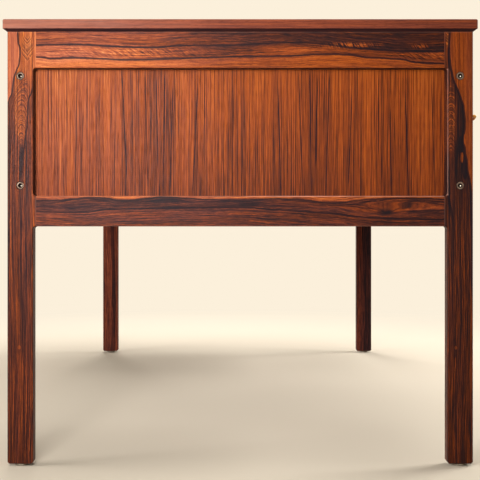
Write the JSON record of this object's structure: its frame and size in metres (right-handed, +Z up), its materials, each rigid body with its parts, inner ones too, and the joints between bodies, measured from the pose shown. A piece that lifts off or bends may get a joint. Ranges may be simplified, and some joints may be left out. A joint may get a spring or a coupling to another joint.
{
  "type": "writing desk",
  "caption": "Free-standing writing desk with a thin lipped top, bolted open end frames, a lockable cupboard and drawers hung between them.",
  "frame": {"origin": "on the floor under the middle of the top", "axes": "+X along the desk to the sitter's right, +Y from the front to the back, +Z up"},
  "size_m": [1.5, 0.7855, 0.73],
  "materials": {
    "rosewood_solid": "oiled rosewood, satin",
    "rosewood_veneer": "rosewood veneer, satin lacquer",
    "drawer_wood": "beech, thin lacquer",
    "drawer_plywood": "birch plywood, thin lacquer",
    "brass": "aged brass",
    "steel": "dull nickel plate",
    "glide_plastic": "worn nylon"
  },
  "bodies": {
    "desk": {"top_lipping_front": "rosewood_solid", "top_lipping_back": "rosewood_solid", "top_lipping_left": "rosewood_solid", "top_lipping_right": "rosewood_solid", "left_front_leg": "rosewood_solid", "left_back_leg": "rosewood_solid", "left_upper_rail": "rosewood_solid", "left_lower_rail": "rosewood_solid", "right_front_leg": "rosewood_solid", "right_back_leg": "rosewood_solid", "right_upper_rail": "rosewood_solid", "right_lower_rail": "rosewood_solid", "top_panel": "rosewood_veneer", "left_outer_side": "rosewood_veneer", "left_inner_side": "rosewood_veneer", "right_outer_side": "rosewood_veneer", "right_inner_side": "rosewood_veneer", "left_bottom": "rosewood_veneer", "right_bottom": "rosewood_veneer", "left_front_rail": "rosewood_veneer", "right_front_rail": "rosewood_veneer", "kneehole_apron": "rosewood_veneer", "back_panel": "rosewood_veneer", "cabinet_shelf": "rosewood_veneer", "drawer_runners": "drawer_wood", "left_rear_rail": "drawer_wood", "right_rear_rail": "drawer_wood", "case_hinge_leaves": "brass", "hinge_pins": "brass", "strike_plate": "brass", "shelf_pins": "brass", "bolt_inserts": "brass", "frame_bolts": "steel", "top_screws": "steel", "leg_glides": "glide_plastic"},
    "door": {"door_panel": "rosewood_veneer", "door_escutcheon": "brass", "door_lock_case": "brass", "door_hinge_leaves": "brass"},
    "key": {"door_key": "brass"},
    "lock_bolt": {"door_lock_bolt": "steel"},
    "top_drawer": {"top_drawer_front": "rosewood_veneer", "top_drawer_left_side": "drawer_wood", "top_drawer_right_side": "drawer_wood", "top_drawer_back": "drawer_wood", "top_drawer_bottom": "drawer_plywood"},
    "middle_drawer": {"middle_drawer_front": "rosewood_veneer", "middle_drawer_left_side": "drawer_wood", "middle_drawer_right_side": "drawer_wood", "middle_drawer_back": "drawer_wood", "middle_drawer_bottom": "drawer_plywood"},
    "bottom_drawer": {"bottom_drawer_front": "rosewood_veneer", "bottom_drawer_left_side": "drawer_wood", "bottom_drawer_right_side": "drawer_wood", "bottom_drawer_back": "drawer_wood", "bottom_drawer_bottom": "drawer_plywood"}
  },
  "joints": [
    {"name": "door_hinge", "type": "hinge", "parent": "desk", "child": "door", "pos_m": [-0.3152, -0.3773, 0.554], "axis": [0, 0, 1], "range_deg": [0, 170]},
    {"name": "key_turn", "type": "hinge", "parent": "door", "child": "key", "pos_m": [-0.678, -0.374, 0.574], "axis": [0, 1, 0], "range_deg": [0, 75]},
    {"name": "bolt_slide", "type": "slide", "parent": "door", "child": "lock_bolt", "axis": [-1, 0, 0], "range_m": [0, 0.007]},
    {"name": "top_drawer_slide", "type": "slide", "parent": "desk", "child": "top_drawer", "axis": [0, -1, 0], "range_m": [0, 0.42]},
    {"name": "middle_drawer_slide", "type": "slide", "parent": "desk", "child": "middle_drawer", "axis": [0, -1, 0], "range_m": [0, 0.42]},
    {"name": "bottom_drawer_slide", "type": "slide", "parent": "desk", "child": "bottom_drawer", "axis": [0, -1, 0], "range_m": [0, 0.42]}
  ],
  "couplings": [
    {"joint": "bolt_slide", "follows": "key_turn", "m_per_rad": 0.005347}
  ]
}
